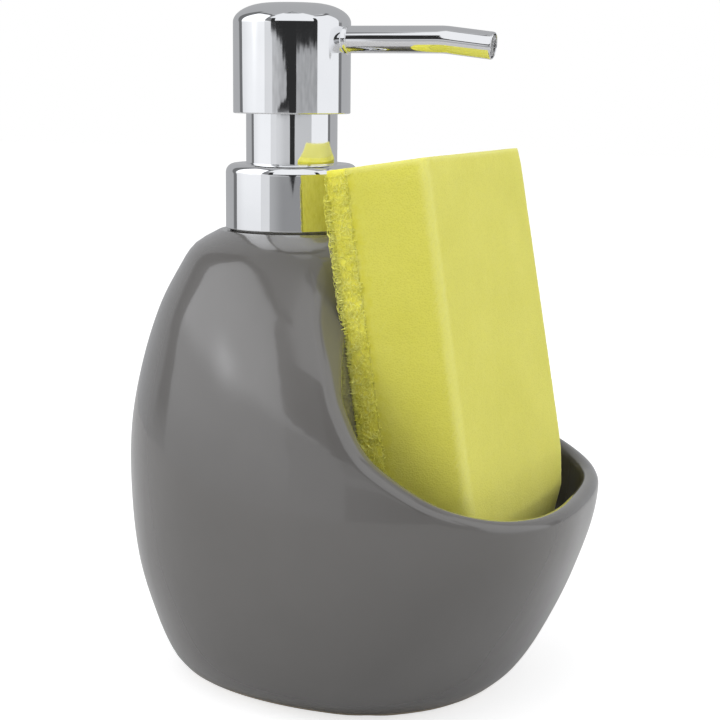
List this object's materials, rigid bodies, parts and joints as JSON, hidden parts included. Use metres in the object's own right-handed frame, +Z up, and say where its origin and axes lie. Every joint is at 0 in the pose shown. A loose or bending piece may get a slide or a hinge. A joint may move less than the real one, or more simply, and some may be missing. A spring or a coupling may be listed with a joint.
{
  "type": "soap pump caddy",
  "caption": "Glazed ceramic soap dispenser with a chrome lotion pump at the back and an open pocket at the front that holds a sponge.",
  "frame": {"origin": "on the pump's vertical axis, in the plane the caddy stands on", "axes": "+Z up along the pump axis, +X towards the spout and the sponge pocket, +Y to the left seen from behind the pump"},
  "size_m": [0.1186, 0.108, 0.169],
  "materials": {
    "glaze": "gloss",
    "chrome": "polished",
    "white_plastic": "satin",
    "clear_plastic": "gloss",
    "gasket": "matte",
    "steel": "polished",
    "foam": "matte",
    "pad": "matte"
  },
  "bodies": {
    "caddy": {"ceramic_body": "glaze", "neck_insert": "white_plastic"},
    "pump": {"pump_housing": "white_plastic", "stem_guide": "white_plastic", "neck_gasket": "gasket", "dip_tube": "clear_plastic", "ball_cage": "white_plastic", "pump_spring": "steel"},
    "collar": {"closure_ring": "white_plastic", "collar_shell": "chrome", "stem_sleeve": "chrome"},
    "plunger": {"piston": "white_plastic"},
    "head": {"piston_stem": "white_plastic", "actuator_core": "white_plastic", "head_shell": "chrome", "spout": "chrome", "spout_liner": "white_plastic"},
    "valve_ball": {"check_ball": "steel"},
    "sponge": {"foam_block": "foam", "scouring_pad": "pad"}
  },
  "joints": [
    {"name": "pump_lift", "type": "slide", "parent": "caddy", "child": "pump", "axis": [0, 0, 1], "range_m": [0, 0.0063]},
    {"name": "collar_turn", "type": "hinge", "parent": "pump", "child": "collar", "pos_m": [0, 0, 0.12], "axis": [0, 0, 1], "range_deg": [0, 540]},
    {"name": "pump_press", "type": "slide", "parent": "pump", "child": "plunger", "axis": [0, 0, -1], "range_m": [0, 0.012], "stiffness_N_per_m": 900, "springref_m": -0.006, "deforming": ["pump_spring"]},
    {"name": "head_swivel", "type": "hinge", "parent": "plunger", "child": "head", "pos_m": [0, 0, 0.15], "axis": [0, 0, 1], "continuous": true},
    {"name": "ball_lift", "type": "slide", "parent": "pump", "child": "valve_ball", "axis": [0, 0, 1], "range_m": [0, 0.0015]},
    {"name": "sponge_lift", "type": "slide", "parent": "caddy", "child": "sponge", "axis": [-0.154, 0.0146, 0.988], "range_m": [0, 0.018]}
  ],
  "couplings": [
    {"joint": "collar_turn", "follows": "pump_lift", "rad_per_m": 1496}
  ]
}
